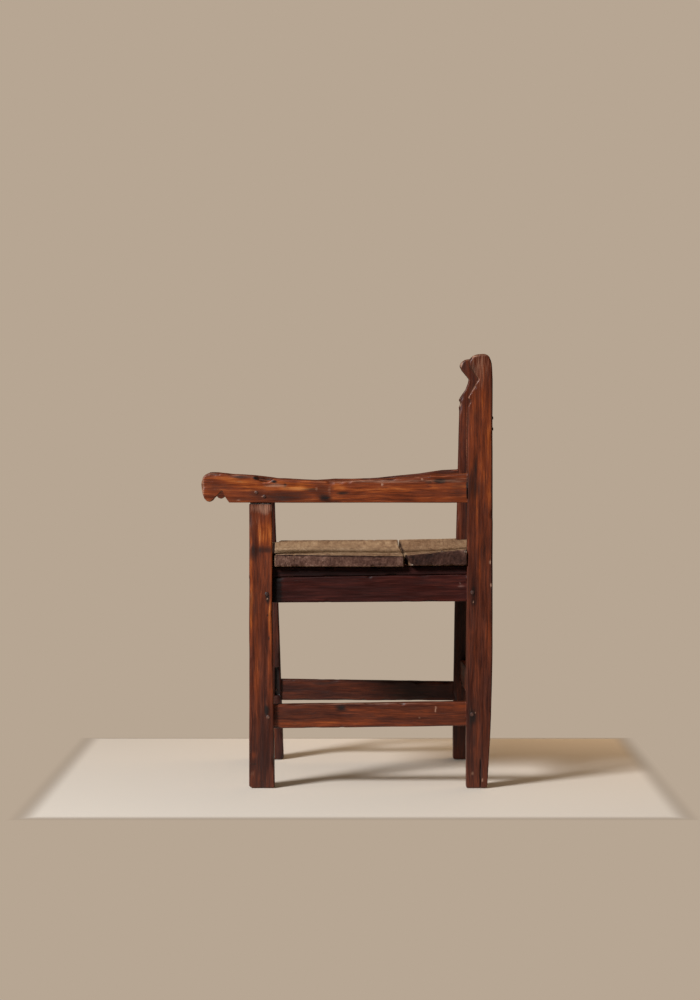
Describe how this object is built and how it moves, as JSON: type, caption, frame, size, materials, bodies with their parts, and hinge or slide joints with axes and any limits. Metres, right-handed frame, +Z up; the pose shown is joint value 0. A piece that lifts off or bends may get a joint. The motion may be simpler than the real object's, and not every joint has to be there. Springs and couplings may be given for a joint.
{
  "type": "armchair",
  "caption": "Rustic joined armchair in dark hardwood: plank seat on a pegged mortise-and-tenon frame, scrolled arms, carved post tops and a low back board.",
  "frame": {"origin": "on the floor, at the middle of the chair's overall width and depth", "axes": "+Z up; the sitter faces -Y; the sitter's left hand is on +X"},
  "size_m": [0.562, 0.5864, 0.87],
  "materials": {
    "frame_wood": "waxed, worn satin with near-black stains and knots",
    "rail_wood": "darker waxed satin",
    "seat_wood": "greyed and worn, matt",
    "peg_wood": "dark, hand-whittled"
  },
  "bodies": {
    "root": {"left_rear_post": "frame_wood", "right_rear_post": "frame_wood", "left_front_leg": "frame_wood", "right_front_leg": "frame_wood", "left_arm": "frame_wood", "right_arm": "frame_wood", "left_side_stretcher": "frame_wood", "right_side_stretcher": "frame_wood", "rear_stretcher": "frame_wood", "back_board": "frame_wood", "left_side_seat_rail": "rail_wood", "right_side_seat_rail": "rail_wood", "front_seat_rail": "rail_wood", "rear_seat_rail": "rail_wood", "left_seat_bearer": "rail_wood", "right_seat_bearer": "rail_wood", "front_seat_board": "seat_wood", "rear_seat_board": "seat_wood", "left_arm_front_peg": "peg_wood", "left_arm_rear_peg": "peg_wood", "right_arm_front_peg": "peg_wood", "right_arm_rear_peg": "peg_wood", "left_side_seat_rail_front_peg": "peg_wood", "left_side_seat_rail_rear_peg": "peg_wood", "right_side_seat_rail_front_peg": "peg_wood", "right_side_seat_rail_rear_peg": "peg_wood", "left_side_stretcher_front_peg": "peg_wood", "left_side_stretcher_rear_peg": "peg_wood", "right_side_stretcher_front_peg": "peg_wood", "right_side_stretcher_rear_peg": "peg_wood", "left_front_seat_rail_peg": "peg_wood", "right_front_seat_rail_peg": "peg_wood", "left_rear_seat_rail_peg": "peg_wood", "right_rear_seat_rail_peg": "peg_wood", "left_rear_stretcher_peg": "peg_wood", "right_rear_stretcher_peg": "peg_wood", "left_back_board_upper_peg": "peg_wood", "left_back_board_lower_peg": "peg_wood", "right_back_board_upper_peg": "peg_wood", "right_back_board_lower_peg": "peg_wood", "left_front_seat_board_peg": "peg_wood", "right_front_seat_board_peg": "peg_wood", "left_rear_seat_board_peg": "peg_wood", "right_rear_seat_board_peg": "peg_wood"}
  },
  "joints": []
}
